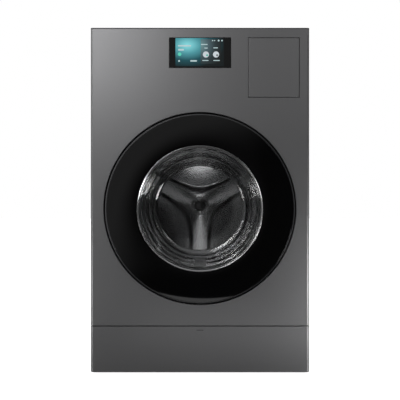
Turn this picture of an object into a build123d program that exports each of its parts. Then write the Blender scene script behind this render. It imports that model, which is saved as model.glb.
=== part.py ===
"""Front-loading combined washer and heat-pump dryer, as separate pieces on their joints.

The machine stands on the floor plane, faces -Y and is centred on X. "Depth" is a distance
behind the outer face of the front panel, so a point at depth d has y = FRONT_Y + d.
"""
from build123d import *
import os

os.makedirs("parts", exist_ok=True)

# driving dimensions, in millimetres
CAB_W = 686.0
CAB_TOP = 1086.0
FLOOR_GAP = 8.0
FRONT_Y = -422.0
BODY_DEPTH = 830.0
SHEET = 1.2
EDGE_R = 8.0
PLINTH_TOP = 151.2
PANEL_BOTTOM = 154.2
PANEL_TOP = 1082.3
DRUM_Z = 520.0
HOLE_R = 301.0
DOOR_R = 295.0
DOOR_PROUD = 12.0
WINDOW_R = 196.3
TUB_R = 305.0
DRUM_R = 275.0
DRUM_FRONT, DRUM_BACK = 126.0, 698.0
HINGE_X, HINGE_DEPTH = -286.0, -4.2
PIN_R = 2.4
RUN_FIT = 0.05
DRAWER_X = (152.0, 310.0)
DRAWER_Z = (869.0, 1054.0)
DRAWER_GAP = 1.5
SCREEN_HALF_W = 97.0
SCREEN_Z = (960.4, 1055.3)
FOOT_X, FOOT_DEPTHS = 295.0, (72.0, 760.0)
FOOT_STUD_R = 6.0
DAMPER_X, DAMPER_DEPTHS = 185.0, (190.0, 610.0)
DAMPER_ROD_R = 7.0
SPRING_X, SPRING_DEPTHS = 322.0, (230.0, 600.0)
SPRING_HOLES_Z = (640.0, 1062.0)
VALVE_X, VALVE_Z = (-270.0, -226.0), 1010.0
VALVE_R = 13.2
REAR_PROUD = 26.0
SPIGOT_X, SPIGOT_Z, SPIGOT_R = 270.0, 180.0, 11.0
GLAND_X, GLAND_Z, GLAND_BORE_R = 270.0, 980.0, 4.6
PUMP_X, PUMP_Z = -215.0, 92.0
STAR_R, STAR_RISE = 206.0, 18.0
FIELD_OFFSET, FIELD_R = 312.6, 229.6
COMPRESSOR_X, COMPRESSOR_DEPTH = 225.0, 500.0
FAN_X, FAN_DEPTH = 45.0, 315.0
DUCT_X, DUCT_DEPTH, DUCT_Z = (-306.0, 112.0), (110.0, 520.0), (858.0, 1050.0)
BELLOWS_X, BELLOWS_DEPTHS = -120.0, (250.0, 480.0)
PLINTH_AXIS = (11.0, 20.0)
LATCH_X = 256.0

HALF_W = CAB_W / 2
SHAFT_AXIS = Axis((0, 0, DRUM_Z), (0, 1, 0))
INWARD = (0, 1, 0)
UP = (0, 0, 1)


def point(x, depth, z):
    """A place given by its depth behind the front face."""
    return (x, FRONT_Y + depth, z)


def block(xs, depths, zs, mode=Mode.ADD):
    """Add or cut a box given by its ranges in x, depth and z."""
    centre = point(sum(xs) / 2, sum(depths) / 2, sum(zs) / 2)
    with Locations(centre):
        Box(xs[1] - xs[0], depths[1] - depths[0], zs[1] - zs[0], mode=mode)


def rod(start, direction, radius, length, mode=Mode.ADD):
    """Add or cut a round bar that starts at a point and runs along a direction."""
    with BuildSketch(Plane(origin=start, z_dir=direction)) as disc:
        Circle(radius)
    extrude(disc.sketch, amount=length, mode=mode)


def turn(*outline, mode=Mode.ADD):
    """Add or cut a ring about the drum's axis; the outline is (radius, depth) points."""
    with BuildSketch(Plane.XY.offset(DRUM_Z)) as section:
        with BuildLine():
            Polyline(*[(radius, FRONT_Y + depth) for radius, depth in outline], close=True)
        make_face()
    revolve(section.sketch, axis=SHAFT_AXIS, mode=mode)


def washer(r_in, r_out, d_front, d_back, mode=Mode.ADD):
    """Add or cut a square-section ring about the drum's axis."""
    turn((r_in, d_front), (r_out, d_front), (r_out, d_back), (r_in, d_back), mode=mode)


def tube_along(points, radius, bend):
    """Add a round bar along straight runs joined by tangent bends."""
    with BuildLine() as route:
        FilletPolyline(*[point(*p) for p in points], radius=bend)
    start = Plane(origin=route.line @ 0, z_dir=route.line % 0)
    with BuildSketch(start) as section:
        Circle(radius)
    sweep(section.sketch, path=route.line)


def wrapped_panel(z_low, z_high, flange):
    """Add a front sheet whose sides roll back round the cabinet's vertical edges."""
    depth = 22.0
    for inset, mode in ((0.0, Mode.ADD), (SHEET, Mode.SUBTRACT)):
        low = z_low if mode is Mode.ADD else z_low + SHEET
        high = z_high if mode is Mode.ADD else z_high - SHEET
        with BuildSketch(Plane.XY.offset(low)) as section:
            with Locations((0, FRONT_Y + inset + depth / 2)):
                Rectangle(CAB_W - 2 * inset, depth)
            fillet(section.vertices().group_by(Axis.Y)[0], EDGE_R - inset)
        extrude(section.sketch, amount=high - low, mode=mode)
    inner = HALF_W - SHEET
    block((-inner, inner), (flange, depth), (z_low - 1, z_high + 1), Mode.SUBTRACT)


def pressed_field(plane, width, height, corner, rise):
    """Press a shallow field with sloping sides into a sheet that lies on a plane."""
    with BuildSketch(plane.offset(-SHEET)) as back:
        RectangleRounded(width, height, corner)
    extrude(back.sketch, amount=-rise, taper=50)
    with BuildSketch(plane) as face:
        RectangleRounded(width, height, corner)
    extrude(face.sketch, amount=-rise, taper=50, mode=Mode.SUBTRACT)


def save(piece, label):
    """Label a finished piece and write it."""
    piece.part.label = label
    export_step(piece.part, f"parts/{label}.step")


# ------------------------------------------------------------------ cabinet

# welded base tray with threaded bushes for the feet and lugs for the plinth cover
with BuildPart() as base_frame:
    block((-338, 338), (30, 822), (26, 62))
    block((-335, 335), (33, 819), (28, 63), Mode.SUBTRACT)
    block((PUMP_X - 44, PUMP_X + 44), (29, 34), (46, 63), Mode.SUBTRACT)
    for beam_depth in (250, 660):
        block((-336, 336), (beam_depth, beam_depth + 20), (27, 44))
    for side in (-1, 1):
        for foot_depth in FOOT_DEPTHS:
            rod(point(side * FOOT_X, foot_depth, 14), UP, 15, 46)
        lug_x = sorted((side * 264, side * 272))
        block(lug_x, (5.5, 31), (14.5, 27))
        block(lug_x, (30, 31), (26, 40))
        for foot_depth in FOOT_DEPTHS:
            rod(point(side * FOOT_X, foot_depth, 10), UP, FOOT_STUD_R + RUN_FIT, 60, Mode.SUBTRACT)
    rod(point(-300, *PLINTH_AXIS), (1, 0, 0), 3 + RUN_FIT, 600, Mode.SUBTRACT)
save(base_frame, "base_frame")

# flat side sheets with a pressed field and folded flanges
for side, side_name in ((-1, "left"), (1, "right")):
    outer = Plane(origin=point(side * HALF_W, 430, 560), x_dir=INWARD, z_dir=(side, 0, 0))
    with BuildPart() as side_panel:
        block(sorted((side * (HALF_W - SHEET), side * HALF_W)), (24.5, 828.6), (FLOOR_GAP, 1082.2))
        pressed_field(outer, 620, 700, 40, 2.6)
        inner_x = side * (HALF_W - SHEET / 2)
        for reach, depths, zs in (
            (16, (24.5, 25.7), (FLOOR_GAP, 1082.2)),
            (20, (827.4, 828.6), (FLOOR_GAP, 1082.2)),
            (3.6, (24.5, 828.6), (FLOOR_GAP, 9.2)),
            (14, (24.5, 828.6), (1081, 1082.2)),
        ):
            block(sorted((inner_x, side * (HALF_W - reach))), depths, zs)
    save(side_panel, f"side_panel_{side_name}")

# rear sheet: service opening, pressed stiffening fields, louvres and pipe holes
REAR_FACE = Plane(origin=point(0, BODY_DEPTH, DRUM_Z), x_dir=(-1, 0, 0), z_dir=INWARD)
with BuildPart() as rear_panel:
    block((-342, 342), (BODY_DEPTH - SHEET, BODY_DEPTH), (12, 1081))
    for field_x in (-262, 262):
        pressed_field(REAR_FACE.shift_origin(point(field_x, BODY_DEPTH, 600)), 110, 560, 18, 2.4)
    washer(0, 176, 820, 835, Mode.SUBTRACT)
    for slot in range(9):
        z = 920 + 14 * slot
        block((-60, 120), (820, 835), (z, z + 4), Mode.SUBTRACT)
        block((-60, 120), (BODY_DEPTH - SHEET, BODY_DEPTH + 3.2), (z + 4, z + 5.2))
        block((-60, 120), (BODY_DEPTH + 2, BODY_DEPTH + 3.2), (z, z + 5))
    for x in VALVE_X:
        rod(point(x, 820, VALVE_Z), INWARD, 16, 20, Mode.SUBTRACT)
    rod(point(SPIGOT_X, 820, SPIGOT_Z), INWARD, SPIGOT_R + 2, 20, Mode.SUBTRACT)
    rod(point(GLAND_X, 820, GLAND_Z), INWARD, 8.5, 20, Mode.SUBTRACT)
save(rear_panel, "rear_panel")

# dished cover over the motor, screwed round the service opening
with BuildPart() as rear_service_cover:
    turn((0, 838), (138, 838), (160, 830.2), (192, 830.2), (192, 831.4), (161, 831.4),
         (139, 839.2), (0, 839.2))
    with BuildSketch(Plane(origin=point(0, 836, DRUM_Z), x_dir=(1, 0, 0), z_dir=INWARD)) as vents:
        with PolarLocations(92, 24):
            SlotOverall(56, 6)
    extrude(vents.sketch, amount=6, mode=Mode.SUBTRACT)
save(rear_service_cover, "rear_service_cover")

# lid sheet, hemmed round its edge
with BuildPart() as top_cover:
    block((-HALF_W, HALF_W), (0, BODY_DEPTH), (PANEL_TOP + 0.2, CAB_TOP))
    fillet(top_cover.edges().filter_by(Axis.Z), EDGE_R - 1)
    fillet(top_cover.faces().sort_by(Axis.Z)[-1].edges(), 1.4)
    block((-330, 330), (13, 817), (PANEL_TOP, CAB_TOP - 1.5), Mode.SUBTRACT)
save(top_cover, "top_cover")

# front sheet: door opening with a rolled lip, screen and drawer openings
with BuildPart() as front_panel:
    wrapped_panel(PANEL_BOTTOM, PANEL_TOP, 14)
    washer(0, HOLE_R + 2, -5, 30, Mode.SUBTRACT)
    turn((HOLE_R + 3.4, 0), (HOLE_R + 0.9, 0.9), (HOLE_R, 3.4), (HOLE_R, 14), (HOLE_R + SHEET, 14),
         (HOLE_R + SHEET, 3.6), (HOLE_R + 1.9, 1.8), (HOLE_R + 3.6, SHEET))
    block((DRAWER_X[0] - DRAWER_GAP, DRAWER_X[1] + DRAWER_GAP), (-5, 20),
          (DRAWER_Z[0] - DRAWER_GAP, DRAWER_Z[1] + DRAWER_GAP), Mode.SUBTRACT)
    block((-SCREEN_HALF_W - 0.5, SCREEN_HALF_W + 0.5), (-5, 10),
          (SCREEN_Z[0] - 0.5, SCREEN_Z[1] + 0.5), Mode.SUBTRACT)
save(front_panel, "front_panel")

# upper frame bars that tie the sides and carry the suspension hangers
with BuildPart() as top_rails:
    block((-341, 341), (27, 60), (1070, 1080))
    block((-341, 341), (790, 824), (1070, 1080))
    for side in (-1, 1):
        block(sorted((side * 314, side * 336)), (59, 791), (1070, 1080))
        for spring_depth in SPRING_DEPTHS:
            hanger = (spring_depth - 2.5, spring_depth + 2.5)
            block(sorted((side * 312, side * 332)), hanger, (1059, 1071))
            rod(point(side * SPRING_X, spring_depth - 5, SPRING_HOLES_Z[1]), INWARD, 6, 10,
                Mode.SUBTRACT)
save(top_rails, "top_rails")

# recess that the closed door sits in
with BuildPart() as door_well:
    turn((306, 1.4), (322, 1.4), (322, 3.4), (308, 3.4), (308, 46), (214, 46),
         (214, 34), (216, 34), (216, 44), (306, 44))
    block((LATCH_X - 20, LATCH_X + 14), (40, 50), (502, 538), Mode.SUBTRACT)
save(door_well, "door_well")

# folded rubber sleeve between the well and the tub's mouth
with BuildPart() as door_gasket:
    turn((187.6, 24), (190.2, 24), (194.2, 34), (207, 36.5), (213.7, 35), (213.7, 49),
         (214.6, 49), (229, 55), (229, 67), (215, 73), (211.7, 75), (211.7, 108), (207, 108),
         (207, 73), (224, 65), (224, 57.5), (208, 53), (205, 42), (192, 37))
save(door_gasket, "door_gasket")

with BuildPart() as display_glass:
    block((-SCREEN_HALF_W, SCREEN_HALF_W), (-0.6, 2.6), SCREEN_Z)
    fillet(display_glass.edges().filter_by(Axis.Y), 1.5)
    fillet(display_glass.faces().sort_by(Axis.Y)[0].edges(), 0.5)
save(display_glass, "display_glass")

# screen board behind the glass, and the main control board in its tray
with BuildPart() as control_boards:
    block((-88, 88), (4, 12), (966, 1050))
    block((-80, 80), (12, 15), (972, 1044))
    block((130, 320), (620, 760), (880, 884))
    with Locations([point(170, 655, 893), point(240, 700, 897), point(285, 650, 890)]):
        Box(36, 44, 20)
save(control_boards, "control_boards")

# ------------------------------------------------------------------ detergent drawer

with BuildPart() as drawer_housing:
    block((153.5, 308.5), (20, 340), (868, 1053))
    block((156, 306), (19, 337), (870.5, 1035), Mode.SUBTRACT)
    rod(point(230, 338, 1040), INWARD, 9, 14)
save(drawer_housing, "drawer_housing")

with BuildPart() as drawer_front:
    block(DRAWER_X, (0, 18), DRAWER_Z)
    fillet(drawer_front.faces().sort_by(Axis.Y)[0].edges(), 0.8)
    block((DRAWER_X[0] + 2.5, DRAWER_X[1] - 2.5), (2.5, 19), (DRAWER_Z[0] + 2.5, DRAWER_Z[1] - 2.5),
          Mode.SUBTRACT)
    block((190, 272), (5, 19), (DRAWER_Z[0] - 1, DRAWER_Z[0] + 4), Mode.SUBTRACT)
save(drawer_front, "drawer_front")

with BuildPart() as drawer_tray:
    block((158.5, 303.5), (16, 318), (876, 1024))
    for tank in ((24, 180), (186, 312)):
        block((162, 300), tank, (880, 1030), Mode.SUBTRACT)
save(drawer_tray, "drawer_tray")

with BuildPart() as tank_lid:
    block((160, 302), (182, 317), (1024.2, 1027.2))
    rod(point(231, 249, 1027), UP, 18, 4)
    fillet(tank_lid.faces().sort_by(Axis.Z)[-1].edges(), 1.5)
save(tank_lid, "tank_lid")

# ------------------------------------------------------------------ water side

with BuildPart() as inlet_valves:
    block((-292, -204), (778, 826), (988, 1034))
    for x in VALVE_X:
        rod(point(x, 825, VALVE_Z), INWARD, VALVE_R, BODY_DEPTH + REAR_PROUD - 825)
        rod(point(x, 835, VALVE_Z), INWARD, 9, 40, Mode.SUBTRACT)
        rod(point(x, 800, 1030), UP, 12, 22)
    block((-256, -240), (740, 780), (1002, 1018))
save(inlet_valves, "inlet_valves")

with BuildPart() as internal_hoses:
    tube_along([(-248, 739, 1010), (-248, 690, 1010), (230, 690, 1040), (230, 353, 1040)], 7, 40)
    tube_along([(-140, 150, 75), (-140, 740, 75), (240, 740, 75), (SPIGOT_X, 740, 110),
                (SPIGOT_X, 740, SPIGOT_Z), (SPIGOT_X, 800, SPIGOT_Z)], 11, 28)
    rod(point(SPIGOT_X, 798, SPIGOT_Z), INWARD, SPIGOT_R, 55)
    rod(point(SPIGOT_X, 823, SPIGOT_Z), INWARD, SPIGOT_R + 6, 5)
    rod(point(SPIGOT_X, 802, SPIGOT_Z), INWARD, SPIGOT_R - 3, 60, Mode.SUBTRACT)
save(internal_hoses, "internal_hoses")

with BuildPart() as drain_pump:
    rod(point(PUMP_X, 32, PUMP_Z), INWARD, 38, 82)
    rod(point(PUMP_X, 113, PUMP_Z), INWARD, 29, 58)
    rod(point(PUMP_X, 60, PUMP_Z), (1, 0, 0), 16, 55)
    rod(point(PUMP_X, 100, PUMP_Z - 17), (1, 0, 0), 11, 64)
    block((PUMP_X - 30, PUMP_X + 30), (44, 160), (28.2, 62))
    rod(point(PUMP_X, 31, PUMP_Z), INWARD, 30 + RUN_FIT, 78, Mode.SUBTRACT)
    rod(point(PUMP_X, 100, PUMP_Z), INWARD, 3 + RUN_FIT, 40, Mode.SUBTRACT)
save(drain_pump, "drain_pump")

with BuildPart() as filter_cap:
    rod(point(PUMP_X, 24, PUMP_Z), INWARD, 34, 7)
    rod(point(PUMP_X, 30, PUMP_Z), INWARD, 30, 28)
    rod(point(PUMP_X, 36, PUMP_Z), INWARD, 26, 40, Mode.SUBTRACT)
    block((PUMP_X - 26, PUMP_X + 26), (17, 25), (PUMP_Z - 5, PUMP_Z + 5))
    fillet(filter_cap.edges().filter_by(Axis.Y), 1)
save(filter_cap, "filter_cap")

with BuildPart() as pump_impeller:
    rod(point(PUMP_X, 92, PUMP_Z), INWARD, 7, 14)
    rod(point(PUMP_X, 105, PUMP_Z), INWARD, 3, 26)
    for xs, zs in (((-22, 22), (-1.5, 1.5)), ((-1.5, 1.5), (-22, 22))):
        block((PUMP_X + xs[0], PUMP_X + xs[1]), (92, 104), (PUMP_Z + zs[0], PUMP_Z + zs[1]))
save(pump_impeller, "pump_impeller")

# corrugated sleeves to the moving tub: two air ducts above it and the drain sleeve below
with BuildPart() as tub_bellows:
    for duct_depth in BELLOWS_DEPTHS:
        rod(point(BELLOWS_X, duct_depth, 832.4), UP, 40, 25.3)
        rod(point(BELLOWS_X, duct_depth, 832), UP, 36, 27, Mode.SUBTRACT)
    tube_along([(0, 250, 194.6), (0, 250, PUMP_Z), (0, 60, PUMP_Z), (-159.6, 60, PUMP_Z)], 16, 40)
save(tub_bellows, "tub_bellows")

# ------------------------------------------------------------------ heat pump

with BuildPart() as duct_housing:
    block(DUCT_X, DUCT_DEPTH, DUCT_Z)
    block((-303, -16), (113, 517), (861, 1047), Mode.SUBTRACT)
    block((-13, 109), (255, 375), (861, 1047), Mode.SUBTRACT)
    block((-20, -10), (285, 345), (880, 960), Mode.SUBTRACT)
    block((-13, 109), (113, 250), (861, 1047), Mode.SUBTRACT)
    block((-13, 109), (380, 517), (861, 1047), Mode.SUBTRACT)
    for duct_depth in BELLOWS_DEPTHS:
        rod(point(BELLOWS_X, duct_depth, 850), UP, 36, 15, Mode.SUBTRACT)
    rod(point(FAN_X, FAN_DEPTH, 1040), UP, 5, 20, Mode.SUBTRACT)
save(duct_housing, "duct_housing")

with BuildPart() as heat_exchangers:
    for x_low, x_high in ((-300, -190), (-168, -30)):
        for end_depth in (150, 478):
            block((x_low, x_high), (end_depth, end_depth + 2), (868, 1040))
        for fin in range(32):
            fin_depth = 160 + 10 * fin
            block((x_low + 2, x_high - 2), (fin_depth, fin_depth + 1), (870, 1038))
        with BuildSketch(Plane(origin=point((x_low + x_high) / 2, 140, 954), x_dir=(1, 0, 0),
                               z_dir=INWARD)) as tubes:
            with GridLocations(36, 40, 3, 4):
                Circle(5)
        extrude(tubes.sketch, amount=348)
save(heat_exchangers, "heat_exchangers")

with BuildPart() as fan_wheel:
    rod(point(FAN_X, FAN_DEPTH, 880), UP, 50, 3)
    rod(point(FAN_X, FAN_DEPTH, 880), UP, 4, 186)
    rod(point(FAN_X, FAN_DEPTH, 880), UP, 9, 30)
    with BuildSketch(Plane.XY.offset(882)) as blades:
        with Locations((FAN_X, FRONT_Y + FAN_DEPTH)):
            with PolarLocations(38, 20):
                Rectangle(18, 2, rotation=35)
    extrude(blades.sketch, amount=70)
    with BuildSketch(Plane.XY.offset(950)) as shroud:
        with Locations((FAN_X, FRONT_Y + FAN_DEPTH)):
            Circle(50)
            Circle(32, mode=Mode.SUBTRACT)
    extrude(shroud.sketch, amount=3)
save(fan_wheel, "fan_wheel")

with BuildPart() as fan_motor:
    rod(point(FAN_X, FAN_DEPTH, 1050.3), UP, 36, 18)
    fillet(fan_motor.edges().group_by(Axis.Z)[-1], 4)
    rod(point(FAN_X, FAN_DEPTH, 1050), UP, 4 + RUN_FIT, 17, Mode.SUBTRACT)
save(fan_motor, "fan_motor")

with BuildPart() as compressor:
    rod(point(COMPRESSOR_X, COMPRESSOR_DEPTH, 62), UP, 56, 160)
    fillet(compressor.edges().group_by(Axis.Z)[-1], 24)
    fillet(compressor.edges().group_by(Axis.Z)[0], 12)
    block((COMPRESSOR_X - 66, COMPRESSOR_X + 66), (450, 550), (64, 68))
    for x in (-56, 56):
        for depth in (458, 542):
            rod(point(COMPRESSOR_X + x, depth, 28.2), UP, 9, 38)
    block((COMPRESSOR_X + 50, COMPRESSOR_X + 72), (480, 520), (120, 170))
save(compressor, "compressor")

with BuildPart() as refrigerant_pipes:
    for run in range(2):
        step = 16 * run
        tube_along([(COMPRESSOR_X + step, 492 + step, 222.1), (COMPRESSOR_X + step, 492 + step, 262),
                    (326, 492 + step, 262), (326, 492 + step, 900 - step),
                    (326, 560, 900 - step), (-60 - step, 560, 900 - step),
                    (-60 - step, 521, 900 - step)], 4, 12)
save(refrigerant_pipes, "refrigerant_pipes")

# ------------------------------------------------------------------ suspension

with BuildPart() as suspension_springs:
    for side in (-1, 1):
        for spring_depth in SPRING_DEPTHS:
            for eye_z, start_z, reach in ((653.3, 663.5, 98), (1048.7, 905, 133.5)):
                with Locations(Location(point(side * SPRING_X, spring_depth, eye_z), (0, 90, 0))):
                    Torus(10, 2.2)
                rod(point(side * SPRING_X, spring_depth, start_z), UP, 1.7, reach)
            for turn_number in range(20):
                coil_z = 765 + 7 * turn_number
                with Locations(point(side * SPRING_X, spring_depth, coil_z)):
                    Torus(9, 2.2)
            rod(point(side * SPRING_X + 9, spring_depth, 764), UP, 1.5, 135)
            for end_z in (765, 898):
                rod(point(side * SPRING_X, spring_depth, end_z), (1, 0, 0), 1.5, 9)
            rod(point(side * SPRING_X, spring_depth, 896), UP, 1.9, 12)
            rod(point(side * SPRING_X, spring_depth, 760), UP, 1.9, 8)
save(suspension_springs, "suspension_springs")

with BuildPart() as damper_cylinders:
    for side in (-1, 1):
        for damper_depth in DAMPER_DEPTHS:
            rod(point(side * DAMPER_X, damper_depth, 28), UP, 22, 6)
            rod(point(side * DAMPER_X, damper_depth, 30), UP, 12, 160)
            rod(point(side * DAMPER_X, damper_depth, 60), UP, DAMPER_ROD_R + RUN_FIT, 140,
                Mode.SUBTRACT)
save(damper_cylinders, "damper_cylinders")

with BuildPart() as damper_rods:
    for side in (-1, 1):
        for damper_depth in DAMPER_DEPTHS:
            rod(point(side * DAMPER_X, damper_depth, 110), UP, DAMPER_ROD_R, 144)
            rod(point(side * DAMPER_X, damper_depth, 246), UP, 14, 8)
save(damper_rods, "damper_rods")

# ------------------------------------------------------------------ tub


def tub_lugs(depth, mouth):
    """Add the spring ears, damper feet and duct spout of one tub half."""
    for side in (-1, 1):
        ear = (depth - 2.5, depth + 2.5)
        block(sorted((side * 286, side * 331)), ear, (600, 649))
        rod(point(side * SPRING_X, depth - 5, SPRING_HOLES_Z[0]), INWARD, 6, 10, Mode.SUBTRACT)
        block(sorted((side * 168, side * 202)), mouth, (254, 300))


with BuildPart() as tub_front:
    turn((216, 92), (216, 108), (TUB_R, 108), (TUB_R, 392), (316, 392), (316, 400), (301, 400),
         (301, 112), (212, 112), (212, 92))
    tub_lugs(SPRING_DEPTHS[0], (172, 208))
    rod(point(BELLOWS_X, BELLOWS_DEPTHS[0], 780), UP, 39, 52)
    rod(point(0, 250, 195), UP, 20, 24)
    washer(0, 300.9, 112.1, 402, Mode.SUBTRACT)
    rod(point(BELLOWS_X, BELLOWS_DEPTHS[0], 770), UP, 36, 70, Mode.SUBTRACT)
    rod(point(0, 250, 190), UP, 17, 40, Mode.SUBTRACT)
save(tub_front, "tub_front")

with BuildPart() as tub_rear:
    turn((TUB_R, 408), (TUB_R, 735), (44, 735), (44, 782), (31, 782), (31, 724), (44, 724),
         (44, 731), (301, 731), (301, 400.3), (316, 400.3), (316, 408))
    with BuildSketch(Plane(origin=point(0, 734, DRUM_Z), z_dir=INWARD)) as ribs:
        with PolarLocations(215, 12):
            Rectangle(170, 4)
    extrude(ribs.sketch, amount=16)
    tub_lugs(SPRING_DEPTHS[1], (592, 628))
    rod(point(BELLOWS_X, BELLOWS_DEPTHS[1], 780), UP, 39, 52)
    washer(0, 300.9, 402, 730.9, Mode.SUBTRACT)
    washer(0, 31, 720, 790, Mode.SUBTRACT)
    washer(31, 44.2, 715, 724, Mode.SUBTRACT)
    rod(point(BELLOWS_X, BELLOWS_DEPTHS[1], 770), UP, 36, 70, Mode.SUBTRACT)
    washer(31, 44, 724, 735)
save(tub_rear, "tub_rear")

# cast ballast arcs screwed to the tub's front wall
with BuildPart() as counterweights:
    for upward in (1, -1):
        with BuildSketch(Plane(origin=point(0, 78, DRUM_Z), x_dir=(1, 0, 0), z_dir=INWARD)) as arc:
            Circle(298)
            Circle(244, mode=Mode.SUBTRACT)
            with Locations((0, -upward * 100)):
                Rectangle(620, 400, mode=Mode.SUBTRACT)
        extrude(arc.sketch, amount=29.7)
save(counterweights, "counterweights")

with BuildPart() as bearings:
    for front, back in ((728, 744), (760, 776)):
        washer(24.5, 31, front, back)
        washer(15 + RUN_FIT, 20, front, back)
        washer(19.8, 24.7, front + 4, back - 4)
    washer(15.4, 31, 724.4, 727.6)
save(bearings, "bearings")

with BuildPart() as stator:
    washer(44.2, 60, 756, 768)
    washer(58, 100, 750, 778)
    with BuildSketch(Plane(origin=point(0, 750, DRUM_Z), z_dir=INWARD)) as teeth:
        with PolarLocations(109, 36):
            Rectangle(22, 10)
    extrude(teeth.sketch, amount=28)
save(stator, "stator")

# ------------------------------------------------------------------ drum

with BuildPart() as drum_shell:
    washer(DRUM_R - SHEET, DRUM_R, DRUM_FRONT, DRUM_BACK)
save(drum_shell, "drum_shell")

with BuildPart() as drum_front_ring:
    turn((200, 118), (206, 114), (212, 116.5), (220, 124), (DRUM_R + 2, 124), (DRUM_R + 2, 128),
         (DRUM_R + 0.2, 128), (DRUM_R + 0.2, 125.6), (219, 125.6), (211, 118), (206, 115.6),
         (201.5, 119), (201.5, 122), (200, 122))
save(drum_front_ring, "drum_front_ring")

# pressed back: three round fields leave a raised star between them
with BuildPart() as drum_back:
    washer(0, DRUM_R - SHEET - 0.2, DRUM_BACK - 2, DRUM_BACK)
    with BuildSketch(Plane(origin=point(0, DRUM_BACK - 1, DRUM_Z), x_dir=(-1, 0, 0),
                           z_dir=(0, -1, 0))) as star:
        Circle(STAR_R)
        with PolarLocations(FIELD_OFFSET, 3, start_angle=90):
            Circle(FIELD_R, mode=Mode.SUBTRACT)
    extrude(star.sketch, amount=STAR_RISE - 1)
save(drum_back, "drum_back")

with BuildPart() as hub_cap:
    turn((0, DRUM_BACK - 34), (26, DRUM_BACK - 32), (38, DRUM_BACK - 26),
         (40, DRUM_BACK - STAR_RISE - 0.2), (0, DRUM_BACK - STAR_RISE - 0.2))
save(hub_cap, "hub_cap")

# hollow baffles, one in each third of the drum
with BuildPart() as drum_lifters:
    with BuildSketch(Plane(origin=point(0, 160, DRUM_Z), x_dir=(1, 0, 0), z_dir=INWARD)) as fins:
        with PolarLocations(0, 3, start_angle=90):
            with Locations((251, 0)):
                Trapezoid(66, 42, 74, rotation=90)
    extrude(fins.sketch, amount=500)
    washer(DRUM_R - SHEET - 0.2, 330, 150, 700, Mode.SUBTRACT)
    fillet(drum_lifters.edges().filter_by(Axis.Y).group_by(SortBy.DISTANCE)[0], 5)
    with BuildSketch(Plane(origin=point(0, 164, DRUM_Z), x_dir=(1, 0, 0), z_dir=INWARD)) as hollow:
        with PolarLocations(0, 3, start_angle=90):
            with Locations((254, 0)):
                Trapezoid(58, 42, 74, rotation=90)
    extrude(hollow.sketch, amount=492, mode=Mode.SUBTRACT)
save(drum_lifters, "drum_lifters")

with BuildPart() as drum_spider:
    with BuildSketch(Plane(origin=point(0, DRUM_BACK + 1, DRUM_Z), x_dir=(1, 0, 0),
                           z_dir=INWARD)) as arms:
        with PolarLocations(150, 3, start_angle=30):
            Trapezoid(58, 232, 87.5, rotation=-90)
        Circle(52)
    extrude(arms.sketch, amount=18)
    washer(0, 15, DRUM_BACK, 800, Mode.SUBTRACT)
save(drum_spider, "drum_spider")

with BuildPart() as drum_shaft:
    washer(0, 15, DRUM_BACK + 1, 808)
save(drum_shaft, "drum_shaft")

with BuildPart() as rotor:
    turn((15, 792), (128, 792), (128, 746), (130, 746), (130, 795), (15, 795))
    washer(122.5, 128.2, 750, 780)
    with BuildSketch(Plane(origin=point(0, 790, DRUM_Z), z_dir=INWARD)) as holes:
        with PolarLocations(78, 12):
            SlotOverall(48, 9)
    extrude(holes.sketch, amount=8, mode=Mode.SUBTRACT)
save(rotor, "rotor")

# ------------------------------------------------------------------ door

with BuildPart() as door_glass:
    turn((WINDOW_R + 0.2, -DOOR_PROUD), (290.4, -DOOR_PROUD), (290.8, -11.6), (290.8, -8.5),
         (WINDOW_R + 0.2, -8.5))
save(door_glass, "door_glass")

with BuildPart() as door_rim:
    turn((291, -12), (293.5, -12), (DOOR_R, -10.5), (DOOR_R, 0.5), (292.5, 1), (292.5, -6.9),
         (284, -6.9), (284, -8.4), (291, -8.4))
    block((-300, -270), (-8.4, 3), (DRUM_Z - 44, DRUM_Z + 44), Mode.SUBTRACT)
save(door_rim, "door_rim")

with BuildPart() as window_trim:
    turn((WINDOW_R, -12), (194.6, -12), (191.5, -9.4), (191.5, -2), (WINDOW_R, -2))
save(window_trim, "window_trim")

# pressed glass bowl that reaches through the gasket
with BuildPart() as door_bowl:
    with BuildSketch(Plane.XY.offset(DRUM_Z)) as section:
        with BuildLine():
            Polyline(*[(radius, FRONT_Y + depth) for radius, depth in (
                (0, 123.5), (150, 118), (172, 96), (191.3, 3.2), (213, 3.2), (213, -1.8),
                (187, -1.8), (167, 94), (147, 113.5), (0, 119))], close=True)
        make_face()
        fillet(section.vertices().filter_by(lambda v: 140 < v.X < 175), 12)
    revolve(axis=SHAFT_AXIS)
save(door_bowl, "door_bowl")

# moulded carrier behind the glass, with the hinge pocket and the latch pin
with BuildPart() as door_frame:
    turn((196, 3.4), (198.5, 3.4), (198.5, 28.5), (261.5, 28.5), (274, -4.6), (274, -6.7),
         (283.6, -6.7), (283.6, -4.4), (276.6, -4.2), (263.5, 31), (196, 31))
    block((-300, -247), (-8, 35), (DRUM_Z - 66, DRUM_Z + 66), Mode.SUBTRACT)
    block((LATCH_X - 17, LATCH_X + 5), (20, 35), (508, 532), Mode.SUBTRACT)
    block((LATCH_X - 14, LATCH_X - 4), (6, 30), (499, 506))
    block((LATCH_X - 14, LATCH_X - 4), (6, 30), (534, 541))
    rod(point(LATCH_X - 9, 12, 500), UP, PIN_R, 40)
save(door_frame, "door_frame")

with BuildPart() as latch_hook:
    block((LATCH_X - 12, LATCH_X - 6), (12, 66), (510, 530))
    rod(point(LATCH_X - 9, 12, 508), UP, 6, 24)
    block((LATCH_X - 12, LATCH_X + 1), (57, 66), (510, 530))
    rod(point(LATCH_X - 9, 12, 500), UP, PIN_R + RUN_FIT, 50, Mode.SUBTRACT)
save(latch_hook, "latch_hook")

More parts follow.
